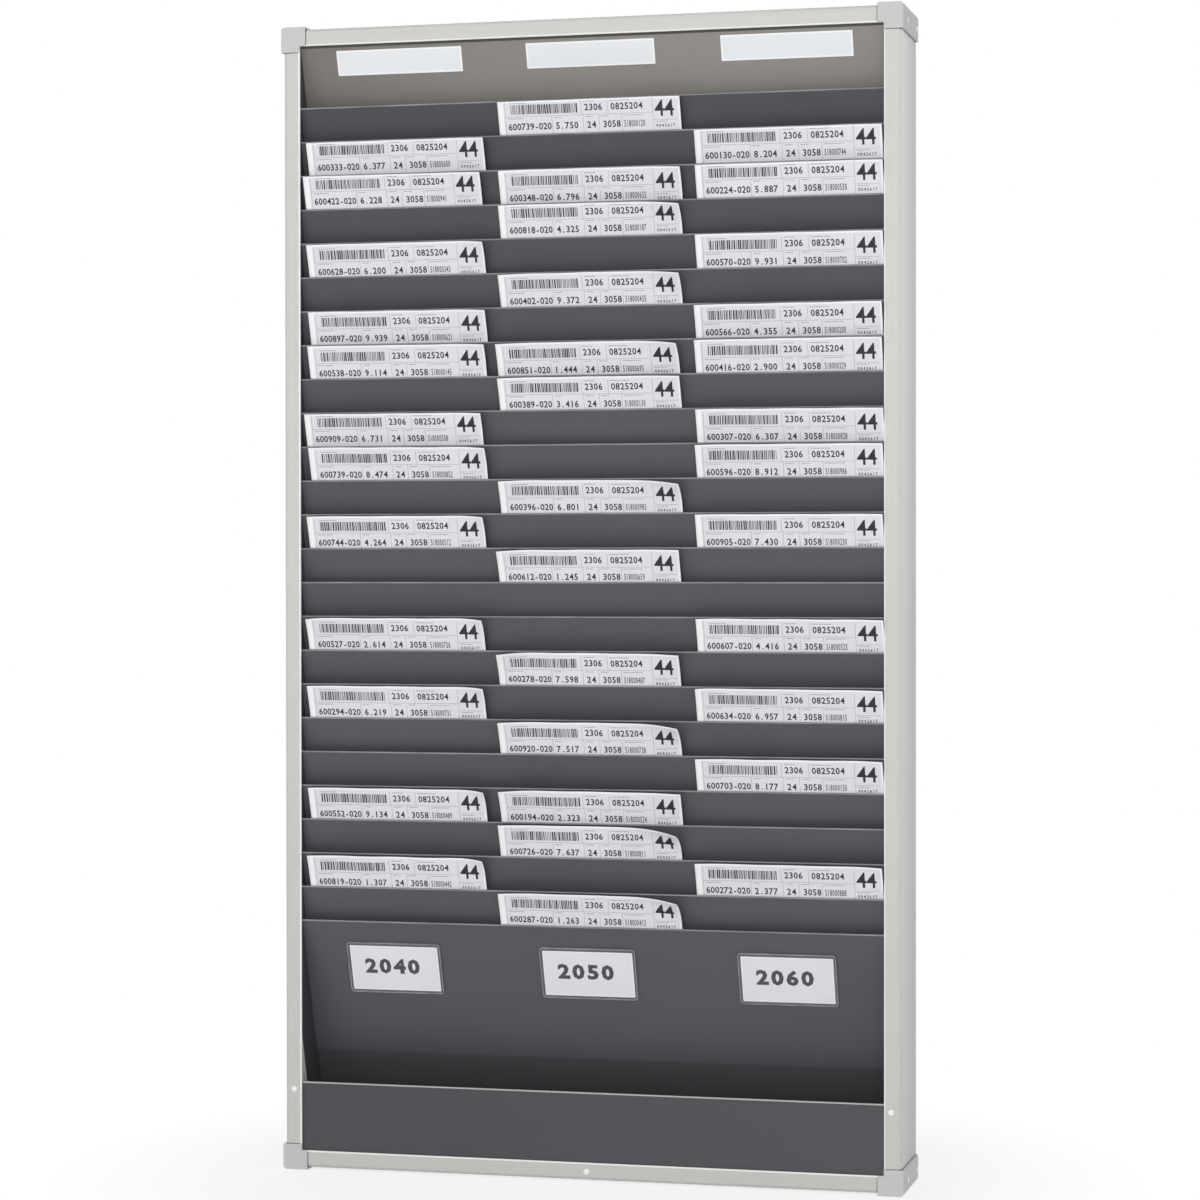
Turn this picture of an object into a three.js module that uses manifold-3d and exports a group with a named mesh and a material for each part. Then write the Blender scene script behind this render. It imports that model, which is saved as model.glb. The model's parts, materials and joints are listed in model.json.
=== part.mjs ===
// Wall rack for A4 charts: a framed board of slanted pocket strips, with a header panel, label pockets and a
// bottom tray. Millimetres, X to the viewer's right, Y towards the wall, Z up.

import * as THREE from 'three';
import { mergeVertices } from 'three/addons/utils/BufferGeometryUtils.js';
import Module from 'manifold-3d';

const wasm = await Module();
wasm.setup();

// Outer size over the corner caps
const WIDTH = 718;
const HEIGHT = 1308;
const DEPTH = 107;
const GAP = 0.3; // clearance between touching pieces

// Corner caps
const CAP_SIZE = 29;
const CAP_PROUD = 2.5; // beyond the profiles at the sides, top and bottom
const CAP_PROUD_FACE = 1.5; // beyond the profiles in front and behind
const CAP_CORNER = 4;
const CAP_NOTCH_FILLET = 1.5;
const CAP_EDGE = 0.7;

// Frame profiles: a U section with a rolled bead along the opening
const FACE = 19.5;
const PROFILE_DEPTH = DEPTH - 2 * CAP_PROUD_FACE;
const PROFILE_WALL = 1.6;
const PROFILE_CORNER = 5;
const BEAD_RADIUS = 1.6;
const MITRE_GAP = 0.25;

// Pocket strips
const POCKETS = 25;
const PITCH = 38.72;
const FIRST_LIP = 1216;
const SLANT = THREE.MathUtils.degToRad(18.5); // from the vertical, top towards the viewer
const LIP_SETBACK = 4.6; // behind the profiles' front faces
const LIP_RADIUS = 1;
const SHEET = 1;
const TONGUE_TOP = 110; // below the lip, along the slant
const TONGUE_LENGTH = 40;

// Side plates
const PLATE_INSIDE = 338; // from the middle plane to the plate's inner face
const PLATE = 1.6;
const PLATE_FRONT = 3.7;
const PLATE_TOP = 1303;
const PLATE_BOTTOM = 26;
const PLATE_FRONT_BOTTOM = 157; // where the slanted lower edge meets the front edge

// Header panel and its label strips
const HEADER_TOP = 1287;
const HEADER_LABEL = { width: 150, height: 30.5, thickness: 0.5, below: 5.5, pitch: 224, shift: 3 };

// Back panel, folded backwards along its four edges
const BACK_FRONT = 89.3;
const BACK_SHEET = 1.2;

// Bottom tray
const TRAY_LIP = 100.7;
const TRAY_FRONT = 3.7;
const TRAY_SHEET = 1;
const TRAY_HALF_WIDTH = 350;
const TRIM_THICKNESS = 2.6;
const TRIM_HEIGHT = 3.4;
const TRIM_COVER = 1.4;
const FLOOR_TOP = 24.2;
const FLOOR_SHEET = 1.2;
const FLOOR_FLANGE = 16;

// Hanger plates behind the top profile, flush with the caps, with a keyhole for a wall screw
const HANGER = { width: 60, height: 56, x: 250, hole: 6, slot: 3, rise: 14, holeAbove: 16 };

// Clear label pockets on the last strip, and their paper inserts
const NAME_POCKET = { width: 111, height: 62, thickness: 2.2, corner: 4, below: 26.5, pitch: 228.5, shift: -2.5 };
const NAME_WALL = 0.6;
const NAME_WELD = 2.8;
const INSERT = { width: 104.6, height: 55, thickness: 0.4 };

// Charts that stand in the pockets: column, the column's middle, pocket numbers counted from the top
const CHART = { width: 210, height: 297, thickness: 0.8 };
const CHART_COLUMNS = [
  { name: 'left', x: -222.5, pockets: [6, 14, 24] },
  { name: 'centre', x: 4.2, pockets: [2, 10, 20] },
  { name: 'right', x: 231.6, pockets: [4, 12, 21] },
];

// Worked out from the driving sizes
const PROFILE_HALF_WIDTH = WIDTH / 2 - CAP_PROUD;
const BACK_STOP = BACK_FRONT - GAP;
const PROFILE_INSIDE = PROFILE_WALL + GAP;
const STRIP_HALF_WIDTH = PLATE_INSIDE - GAP;
const STRIP_LENGTH = slantTo(BACK_STOP, SHEET);
const CHART_FRONT = SHEET + GAP;
const CHART_DROP = slantTo(BACK_STOP, CHART_FRONT + CHART.thickness);
const CHART_STANDS_OUT = CHART.height - CHART_DROP;
const CHART_REACH = CHART_STANDS_OUT * Math.sin(SLANT) - LIP_SETBACK - CHART_FRONT * Math.cos(SLANT);
const FRONT_Y = (CHART_REACH + CAP_PROUD_FACE - DEPTH) / 2; // puts the origin in the middle of the footprint

const frameGrey = new THREE.MeshStandardMaterial({ color: 0xcfd0cc, roughness: 0.45, metalness: 0.1 });
const capGrey = new THREE.MeshStandardMaterial({ color: 0xcbcdcc, roughness: 0.55, metalness: 0 });
const anthracite = new THREE.MeshStandardMaterial({ color: 0x4d4e51, roughness: 0.5, metalness: 0.1 });
const taupe = new THREE.MeshStandardMaterial({ color: 0x827d76, roughness: 0.6, metalness: 0 });
const trimGrey = new THREE.MeshStandardMaterial({ color: 0xc8c8c6, roughness: 0.35, metalness: 0 });
const backGrey = new THREE.MeshStandardMaterial({ color: 0xa9aaa8, roughness: 0.6, metalness: 0.1 });
const steel = new THREE.MeshStandardMaterial({ color: 0xb4b6b8, roughness: 0.35, metalness: 0.9 });
const labelWhite = new THREE.MeshStandardMaterial({ color: 0xe6e8ea, roughness: 0.7, metalness: 0 });
const clearFilm = new THREE.MeshStandardMaterial({
  color: 0xdfe3e6,
  roughness: 0.1,
  metalness: 0,
  transparent: true,
  opacity: 0.35,
});
const paper = new THREE.MeshStandardMaterial({ color: 0xe4e5ea, roughness: 0.85, metalness: 0 });

// Length down the slant from a lip to the depth `stop`, for a sheet whose back face is `back` behind the lip
function slantTo(stop, back) {
  return (stop - LIP_SETBACK - back * Math.cos(SLANT)) / Math.sin(SLANT);
}

function lipHeight(pocket) {
  return FIRST_LIP - (pocket - 1) * PITCH;
}

function block(low, high) {
  const size = high.map((value, axis) => value - low[axis]);
  const geometry = new THREE.BoxGeometry(...size);
  geometry.translate(...low.map((value, axis) => value + size[axis] / 2));
  return geometry;
}

function toSolid(geometry) {
  const bare = geometry.clone();
  bare.deleteAttribute('normal');
  bare.deleteAttribute('uv');
  const merged = mergeVertices(bare);
  return new wasm.Manifold(
    new wasm.Mesh({
      numProp: 3,
      vertProperties: new Float32Array(merged.attributes.position.array),
      triVerts: new Uint32Array(merged.index.array),
    }),
  );
}

function toGeometry(solid) {
  const mesh = solid.getMesh();
  const geometry = new THREE.BufferGeometry();
  geometry.setAttribute('position', new THREE.BufferAttribute(mesh.vertProperties, 3));
  geometry.setIndex(new THREE.BufferAttribute(mesh.triVerts, 1));
  geometry.computeVertexNormals();
  return geometry;
}

function join(first, ...others) {
  return toGeometry(others.reduce((solid, other) => solid.add(toSolid(other)), toSolid(first)));
}

function cut(first, ...others) {
  return toGeometry(others.reduce((solid, other) => solid.subtract(toSolid(other)), toSolid(first)));
}

// Extrudes a section drawn in (y, z) along X, from `low` to `high`
function extrudeAlongX(section, low, high, curveSegments = 6) {
  const geometry = new THREE.ExtrudeGeometry(section, { depth: high - low, bevelEnabled: false, curveSegments });
  const turn = new THREE.Matrix4().makeBasis(
    new THREE.Vector3(0, 1, 0),
    new THREE.Vector3(0, 0, 1),
    new THREE.Vector3(1, 0, 0),
  );
  return geometry.applyMatrix4(turn).translate(low, 0, 0);
}

// Extrudes an outline drawn in (x, z) along Y, from `low` to `high`
function extrudeAlongY(outline, low, high, curveSegments = 6) {
  const geometry = new THREE.ExtrudeGeometry(outline, { depth: high - low, bevelEnabled: false, curveSegments });
  return geometry.rotateX(Math.PI / 2).translate(0, high, 0);
}

function roundedRectangle(width, low, high, radius) {
  const side = width / 2;
  const outline = new THREE.Shape();
  outline.absarc(side - radius, low + radius, radius, -Math.PI / 2, 0, false);
  outline.absarc(side - radius, high - radius, radius, 0, Math.PI / 2, false);
  outline.absarc(radius - side, high - radius, radius, Math.PI / 2, Math.PI, false);
  outline.absarc(radius - side, low + radius, radius, Math.PI, 1.5 * Math.PI, false);
  return outline;
}

function namedMesh(name, geometry, material) {
  const mesh = new THREE.Mesh(geometry, material);
  mesh.name = name;
  return mesh;
}

// A group whose Z runs up the slant and whose Y points back, square to the sheets, with its origin at a lip
function slantedGroup(height) {
  const group = new THREE.Group();
  group.position.set(0, LIP_SETBACK, height);
  group.rotation.x = SLANT;
  return group;
}

// Section of a frame profile: x runs from the outer face towards the opening, y towards the wall
function profileSection() {
  const section = new THREE.Shape();
  const inner = PROFILE_CORNER - PROFILE_WALL;
  section.moveTo(PROFILE_CORNER, 0);
  section.lineTo(FACE - BEAD_RADIUS, 0);
  section.absarc(FACE - BEAD_RADIUS, BEAD_RADIUS, BEAD_RADIUS, -Math.PI / 2, Math.PI / 2, false);
  section.lineTo(FACE - 2 * BEAD_RADIUS, 2 * BEAD_RADIUS);
  section.lineTo(FACE - 2 * BEAD_RADIUS, PROFILE_WALL);
  section.lineTo(PROFILE_CORNER, PROFILE_WALL);
  section.absarc(PROFILE_CORNER, PROFILE_CORNER, inner, -Math.PI / 2, -Math.PI, true);
  section.lineTo(PROFILE_WALL, PROFILE_DEPTH - PROFILE_WALL);
  section.lineTo(FACE, PROFILE_DEPTH - PROFILE_WALL);
  section.lineTo(FACE, PROFILE_DEPTH);
  section.lineTo(0, PROFILE_DEPTH);
  section.lineTo(0, PROFILE_CORNER);
  section.absarc(PROFILE_CORNER, PROFILE_CORNER, PROFILE_CORNER, Math.PI, 1.5 * Math.PI, false);
  return section;
}

// A profile along Z with both ends mitred: the further from the outer face, the shorter
function mitredProfile(length) {
  const geometry = new THREE.ExtrudeGeometry(profileSection(), { depth: 1, bevelEnabled: false, curveSegments: 6 });
  const points = geometry.attributes.position;
  for (let index = 0; index < points.count; index += 1) {
    const half = length / 2 - points.getX(index) - MITRE_GAP;
    points.setZ(index, points.getZ(index) > 0.5 ? half : -half);
  }
  return geometry;
}

function frameProfiles() {
  const upright = mitredProfile(HEIGHT - 2 * CAP_PROUD);
  const across = mitredProfile(2 * PROFILE_HALF_WIDTH);
  const places = [
    ['left_profile', upright, [-PROFILE_HALF_WIDTH, 0, HEIGHT / 2], 0],
    ['right_profile', upright, [PROFILE_HALF_WIDTH, 0, HEIGHT / 2], Math.PI],
    ['top_profile', across, [0, 0, HEIGHT - CAP_PROUD], Math.PI / 2],
    ['bottom_profile', across, [0, 0, CAP_PROUD], -Math.PI / 2],
  ];
  return places.map(([name, geometry, position, turn]) => {
    const mesh = namedMesh(name, geometry, frameGrey);
    mesh.position.set(...position);
    mesh.rotation.y = turn;
    return mesh;
  });
}

// A moulded cap for the corner at +X, +Z, with its outer corner on the Y axis: an L that wraps the profiles
function cornerCap() {
  const arm = CAP_SIZE;
  const notch = CAP_PROUD + FACE;
  const outline = new THREE.Shape();
  outline.moveTo(-arm, 0);
  outline.lineTo(-arm, -notch);
  outline.lineTo(-notch - CAP_NOTCH_FILLET, -notch);
  outline.absarc(
    -notch - CAP_NOTCH_FILLET,
    -notch - CAP_NOTCH_FILLET,
    CAP_NOTCH_FILLET,
    Math.PI / 2,
    0,
    true,
  );
  outline.lineTo(-notch, -arm);
  outline.lineTo(0, -arm);
  outline.lineTo(0, -CAP_CORNER);
  outline.absarc(-CAP_CORNER, -CAP_CORNER, CAP_CORNER, 0, Math.PI / 2, false);
  const shell = new THREE.ExtrudeGeometry(outline, {
    depth: DEPTH - 2 * CAP_EDGE,
    bevelThickness: CAP_EDGE,
    bevelSize: CAP_EDGE,
    bevelOffset: -CAP_EDGE,
    bevelSegments: 2,
    curveSegments: 4,
  });
  shell.rotateX(Math.PI / 2).translate(0, DEPTH - CAP_PROUD_FACE - CAP_EDGE, 0);
  const wall = CAP_PROUD - GAP;
  const hollow = block([-2 * arm, -GAP, -2 * arm], [-wall, PROFILE_DEPTH + GAP, -wall]);
  return cut(shell, hollow);
}

function cornerCaps() {
  const geometry = cornerCap();
  const side = WIDTH / 2;
  const places = [
    ['cap_top_right', [side, 0, HEIGHT], 0],
    ['cap_bottom_right', [side, 0, 0], Math.PI / 2],
    ['cap_bottom_left', [-side, 0, 0], Math.PI],
    ['cap_top_left', [-side, 0, HEIGHT], -Math.PI / 2],
  ];
  return places.map(([name, position, turn]) => {
    const mesh = namedMesh(name, geometry, capGrey);
    mesh.position.set(...position);
    mesh.rotation.y = turn;
    return mesh;
  });
}

function backPanel() {
  const side = PROFILE_HALF_WIDTH - PROFILE_INSIDE;
  const low = CAP_PROUD + PROFILE_INSIDE;
  const high = HEIGHT - low;
  const rear = PROFILE_DEPTH - PROFILE_INSIDE;
  const sheet = BACK_SHEET;
  const tray = block([-side, BACK_FRONT, low], [side, rear, high]);
  const recess = block([sheet - side, BACK_FRONT + sheet, low + sheet], [side - sheet, rear + sheet, high - sheet]);
  return namedMesh('back_panel', cut(tray, recess), backGrey);
}

// Slot in a side plate for the end tongue of the sheet whose lip is at `height`, drawn in (y, z)
function tongueSlot(height) {
  const slot = new THREE.Path();
  const corners = [
    [-GAP, GAP - TONGUE_TOP],
    [SHEET + GAP, GAP - TONGUE_TOP],
    [SHEET + GAP, -TONGUE_TOP - TONGUE_LENGTH - GAP],
    [-GAP, -TONGUE_TOP - TONGUE_LENGTH - GAP],
  ];
  const points = corners.map(([back, up]) => new THREE.Vector2(
    LIP_SETBACK + back * Math.cos(SLANT) - up * Math.sin(SLANT),
    height + back * Math.sin(SLANT) + up * Math.cos(SLANT),
  ));
  return slot.setFromPoints(points);
}

// A plate at +X: a slotted web with a slanted lower edge and a flange along the back panel
function sidePlate() {
  const web = new THREE.Shape();
  const run = (PLATE_FRONT_BOTTOM - PLATE_BOTTOM) * Math.tan(SLANT);
  web.moveTo(PLATE_FRONT, PLATE_FRONT_BOTTOM);
  web.lineTo(PLATE_FRONT + run, PLATE_BOTTOM);
  web.lineTo(BACK_STOP, PLATE_BOTTOM);
  web.lineTo(BACK_STOP, PLATE_TOP);
  web.lineTo(PLATE_FRONT, PLATE_TOP);
  web.holes.push(tongueSlot(HEADER_TOP));
  for (let pocket = 1; pocket <= POCKETS; pocket += 1) {
    web.holes.push(tongueSlot(lipHeight(pocket)));
  }
  const flangeEnd = PROFILE_HALF_WIDTH - PROFILE_INSIDE;
  const flange = block([PLATE_INSIDE, BACK_STOP - PLATE, PLATE_BOTTOM], [flangeEnd, BACK_STOP, PLATE_TOP]);
  return join(extrudeAlongX(web, PLATE_INSIDE, PLATE_INSIDE + PLATE), flange);
}

function sidePlates() {
  const right = sidePlate();
  const left = right.clone().scale(-1, 1, 1);
  const corners = left.index.array;
  for (let start = 0; start < corners.length; start += 3) {
    [corners[start], corners[start + 1]] = [corners[start + 1], corners[start]];
  }
  return [namedMesh('side_plate_left', left, anthracite), namedMesh('side_plate_right', right, anthracite)];
}

// A full-width sheet with a tongue at each end, from its section in (y, z)
function tonguedSheet(section) {
  const sheet = extrudeAlongX(section, -STRIP_HALF_WIDTH, STRIP_HALF_WIDTH);
  const reach = PLATE_INSIDE + PLATE;
  const tongues = block([-reach, 0, -TONGUE_TOP - TONGUE_LENGTH], [reach, SHEET, -TONGUE_TOP]);
  return join(sheet, tongues);
}

function pocketStrips() {
  const section = new THREE.Shape();
  section.moveTo(0, -STRIP_LENGTH);
  section.lineTo(SHEET, -STRIP_LENGTH);
  section.lineTo(SHEET, -LIP_RADIUS);
  section.absarc(SHEET - LIP_RADIUS, -LIP_RADIUS, LIP_RADIUS, 0, 1.5 * Math.PI, false);
  const geometry = tonguedSheet(section);
  return Array.from({ length: POCKETS }, (_, index) => {
    const pocket = index + 1;
    const group = slantedGroup(lipHeight(pocket));
    group.add(namedMesh(`pocket_strip_${String(pocket).padStart(2, '0')}`, geometry, anthracite));
    return group;
  });
}

function header() {
  const group = slantedGroup(HEADER_TOP);
  const section = new THREE.Shape();
  section.moveTo(0, -STRIP_LENGTH);
  section.lineTo(SHEET, -STRIP_LENGTH);
  section.lineTo(SHEET, 0);
  section.lineTo(0, 0);
  group.add(namedMesh('header_panel', tonguedSheet(section), taupe));
  const label = HEADER_LABEL;
  const geometry = block(
    [-label.width / 2, -GAP - label.thickness, -label.below - label.height],
    [label.width / 2, -GAP, -label.below],
  );
  ['left', 'centre', 'right'].forEach((column, index) => {
    const mesh = namedMesh(`header_label_${column}`, geometry, labelWhite);
    mesh.position.x = (index - 1) * label.pitch + label.shift;
    group.add(mesh);
  });
  return group;
}

function bottomTray() {
  const side = TRAY_HALF_WIDTH;
  const front = TRAY_FRONT;
  const sheetTop = TRAY_LIP - TRIM_COVER - GAP;
  const sheetLow = CAP_PROUD + PROFILE_INSIDE;
  const panel = block([-side, front, sheetLow], [side, front + TRAY_SHEET, sheetTop]);

  const middle = front + TRAY_SHEET / 2;
  const half = TRIM_THICKNESS / 2;
  const slot = TRAY_SHEET / 2 + GAP;
  const foot = TRAY_LIP - TRIM_HEIGHT;
  const trim = new THREE.Shape();
  trim.moveTo(middle - half, foot);
  trim.lineTo(middle - slot, foot);
  trim.lineTo(middle - slot, TRAY_LIP - TRIM_COVER);
  trim.lineTo(middle + slot, TRAY_LIP - TRIM_COVER);
  trim.lineTo(middle + slot, foot);
  trim.lineTo(middle + half, foot);
  trim.absarc(middle, TRAY_LIP - half, half, 0, Math.PI, false);
  const trimSide = PROFILE_HALF_WIDTH - FACE - GAP;

  const floorFront = front + TRAY_SHEET + GAP;
  const floorSection = new THREE.Shape();
  floorSection.moveTo(floorFront, FLOOR_TOP - FLOOR_FLANGE);
  floorSection.lineTo(floorFront + FLOOR_SHEET, FLOOR_TOP - FLOOR_FLANGE);
  floorSection.lineTo(floorFront + FLOOR_SHEET, FLOOR_TOP - FLOOR_SHEET);
  floorSection.lineTo(BACK_STOP - FLOOR_SHEET, FLOOR_TOP - FLOOR_SHEET);
  floorSection.lineTo(BACK_STOP - FLOOR_SHEET, FLOOR_TOP - FLOOR_FLANGE);
  floorSection.lineTo(BACK_STOP, FLOOR_TOP - FLOOR_FLANGE);
  floorSection.lineTo(BACK_STOP, FLOOR_TOP);
  floorSection.lineTo(floorFront, FLOOR_TOP);
  return [
    namedMesh('tray_front', panel, anthracite),
    namedMesh('tray_edge_trim', extrudeAlongX(trim, -trimSide, trimSide), trimGrey),
    namedMesh('tray_floor', extrudeAlongX(floorSection, -side, side), anthracite),
  ];
}

function hangerPlates() {
  const plate = HANGER;
  const outline = roundedRectangle(plate.width, 0, plate.height, CAP_CORNER);
  const keyhole = new THREE.Path();
  const neck = Math.asin(plate.slot / plate.hole);
  keyhole.absarc(0, plate.holeAbove, plate.hole, Math.PI / 2 + neck, 2.5 * Math.PI - neck, false);
  keyhole.absarc(0, plate.holeAbove + plate.rise, plate.slot, 0, Math.PI, false);
  outline.holes.push(keyhole);
  const geometry = extrudeAlongY(outline, PROFILE_DEPTH + GAP, PROFILE_DEPTH + CAP_PROUD_FACE);
  const top = HEIGHT - CAP_PROUD - PROFILE_INSIDE - BACK_SHEET - GAP;
  return [['hanger_left', -1], ['hanger_right', 1]].map(([name, side]) => {
    const mesh = namedMesh(name, geometry, steel);
    mesh.position.set(side * plate.x, 0, top - plate.height);
    return mesh;
  });
}

// Pocket of two films welded along three edges, open at the top, and the insert that stands in it
function labelPockets() {
  const group = slantedGroup(lipHeight(POCKETS));
  const film = NAME_POCKET;
  const low = -film.below - film.height;
  const front = -GAP - film.thickness;
  const outline = roundedRectangle(film.width, low, -film.below, film.corner);
  const room = film.width / 2 - NAME_WELD;
  const space = block([-room, front + NAME_WALL, low + NAME_WELD], [room, -GAP - NAME_WALL, 0]);
  const pocket = cut(extrudeAlongY(outline, front, -GAP), space);
  const middle = -GAP - film.thickness / 2;
  const insertLow = low + NAME_WELD + GAP;
  const insert = block(
    [-INSERT.width / 2, middle - INSERT.thickness / 2, insertLow],
    [INSERT.width / 2, middle + INSERT.thickness / 2, insertLow + INSERT.height],
  );
  ['left', 'centre', 'right'].forEach((column, index) => {
    const x = (index - 1) * film.pitch + film.shift;
    const pocketMesh = namedMesh(`label_pocket_${column}`, pocket, clearFilm);
    const insertMesh = namedMesh(`label_insert_${column}`, insert, labelWhite);
    pocketMesh.position.x = x;
    insertMesh.position.x = x;
    group.add(pocketMesh, insertMesh);
  });
  return group;
}

function charts() {
  const geometry = block(
    [-CHART.width / 2, CHART_FRONT, -CHART_DROP],
    [CHART.width / 2, CHART_FRONT + CHART.thickness, CHART_STANDS_OUT],
  );
  return CHART_COLUMNS.flatMap((column) => column.pockets.map((pocket) => {
    const group = slantedGroup(lipHeight(pocket));
    const mesh = namedMesh(`chart_${column.name}_${String(pocket).padStart(2, '0')}`, geometry, paper);
    mesh.position.x = column.x;
    group.add(mesh);
    return group;
  }));
}

const rack = new THREE.Group();
rack.name = 'chart_rack';
rack.position.y = FRONT_Y;
rack.add(
  ...frameProfiles(),
  ...cornerCaps(),
  backPanel(),
  ...sidePlates(),
  header(),
  ...pocketStrips(),
  ...bottomTray(),
  ...hangerPlates(),
  labelPockets(),
  ...charts(),
);

export default rack;
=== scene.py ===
"""Looks of the chart rack: coated frame, sheet pockets, curled printed charts, labels, sleeves and rivets.

Metres, X to the viewer's right, Y towards the wall, Z up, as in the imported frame. Names that end in _MM and
the layouts of the printed sheets are in millimetres.
"""

import json
import math
import random
from collections import namedtuple

import bmesh
import bpy
from mathutils import Matrix, Vector


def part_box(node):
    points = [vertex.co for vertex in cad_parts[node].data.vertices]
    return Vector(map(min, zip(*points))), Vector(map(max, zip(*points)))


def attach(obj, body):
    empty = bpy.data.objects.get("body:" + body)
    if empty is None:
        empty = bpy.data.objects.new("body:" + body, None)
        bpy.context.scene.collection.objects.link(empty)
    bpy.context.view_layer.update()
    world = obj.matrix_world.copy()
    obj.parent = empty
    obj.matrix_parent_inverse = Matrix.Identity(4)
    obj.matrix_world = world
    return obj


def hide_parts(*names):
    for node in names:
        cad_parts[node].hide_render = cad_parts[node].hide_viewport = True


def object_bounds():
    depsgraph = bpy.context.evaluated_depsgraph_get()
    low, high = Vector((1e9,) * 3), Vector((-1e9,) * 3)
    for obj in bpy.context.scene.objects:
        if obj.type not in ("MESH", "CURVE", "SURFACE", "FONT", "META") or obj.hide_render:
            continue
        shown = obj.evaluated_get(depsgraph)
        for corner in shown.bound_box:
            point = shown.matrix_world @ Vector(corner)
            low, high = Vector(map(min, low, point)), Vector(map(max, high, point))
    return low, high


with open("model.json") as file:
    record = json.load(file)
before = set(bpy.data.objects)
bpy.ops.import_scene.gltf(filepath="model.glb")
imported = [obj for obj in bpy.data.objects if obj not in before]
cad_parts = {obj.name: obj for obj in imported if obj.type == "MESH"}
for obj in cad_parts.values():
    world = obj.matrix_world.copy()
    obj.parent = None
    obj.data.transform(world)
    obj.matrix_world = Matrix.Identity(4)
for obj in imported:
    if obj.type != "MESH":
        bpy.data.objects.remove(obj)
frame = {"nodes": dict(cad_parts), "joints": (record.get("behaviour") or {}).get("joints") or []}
cad_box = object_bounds()

MM = 0.001
COLUMNS = ("left", "centre", "right")
POCKETS = 25

# Places taken from the frame. The slant's axes run up the pocket sheets and square to them, towards the wall.
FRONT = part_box("left_profile")[0].y
SLANT_UP = Vector(frame["joints"][0]["axis"]).normalized()
SLANT_BACK = Vector((0.0, SLANT_UP.z, -SLANT_UP.y))
LIP_SETBACK = 4.6 * MM
LIP_RADIUS = 1.0 * MM
SHEET = 1.0 * MM
OPENING_HALF_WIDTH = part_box("right_profile")[0].x
OPENING_MIDDLE = (cad_box[0].z + cad_box[1].z) / 2
OPENING_HALF_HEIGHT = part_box("top_profile")[0].z - OPENING_MIDDLE
PROFILE_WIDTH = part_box("right_profile")[1].x - OPENING_HALF_WIDTH
BEAD_WIDTH = 1.4 * MM
CAP_SIZE = 29 * MM

# Scales of the textures, in spots per metre, and the range in which nearly all values of a noise lie
NOISE_RANGE = (0.3, 0.7)
SLOW_DRIFT = 2.5
RUB_MARKS = 14
HEADER_DRIFT, HEADER_GRAIN = 6, 1200
STRIP_DRIFT, STRIP_GRAIN, LIP_HIGHLIGHT_AND_WEAR = 3, 1400, 120
FRAME_GRAIN, FRAME_LINES = 1500, 380
TRIM_GRAIN = 1800
ZINC_CRYSTALS, ZINC_GRAIN = 260, 900
PAPER_TINT, PAPER_FIBRES = 9, 900
TONER = 700
FILM_RIPPLE = 60
FLOOR_DUST = 30

# Depths of the textures
GRAIN_DEPTH = 0.1 * MM
FINE_DEPTH = 0.05 * MM
RIPPLE_DEPTH = 0.4 * MM

# Colour sockets of a Mix node, which has a set of sockets for every type of value
MIX_FIRST, MIX_SECOND, MIX_RESULT = 6, 7, 2


def srgb(red, green, blue):
    """Linear colour of an sRGB colour given in 0 to 255."""
    shares = (channel / 255 for channel in (red, green, blue))
    linear = (s / 12.92 if s <= 0.04045 else ((s + 0.055) / 1.055) ** 2.4 for s in shares)
    return (*linear, 1.0)


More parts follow.
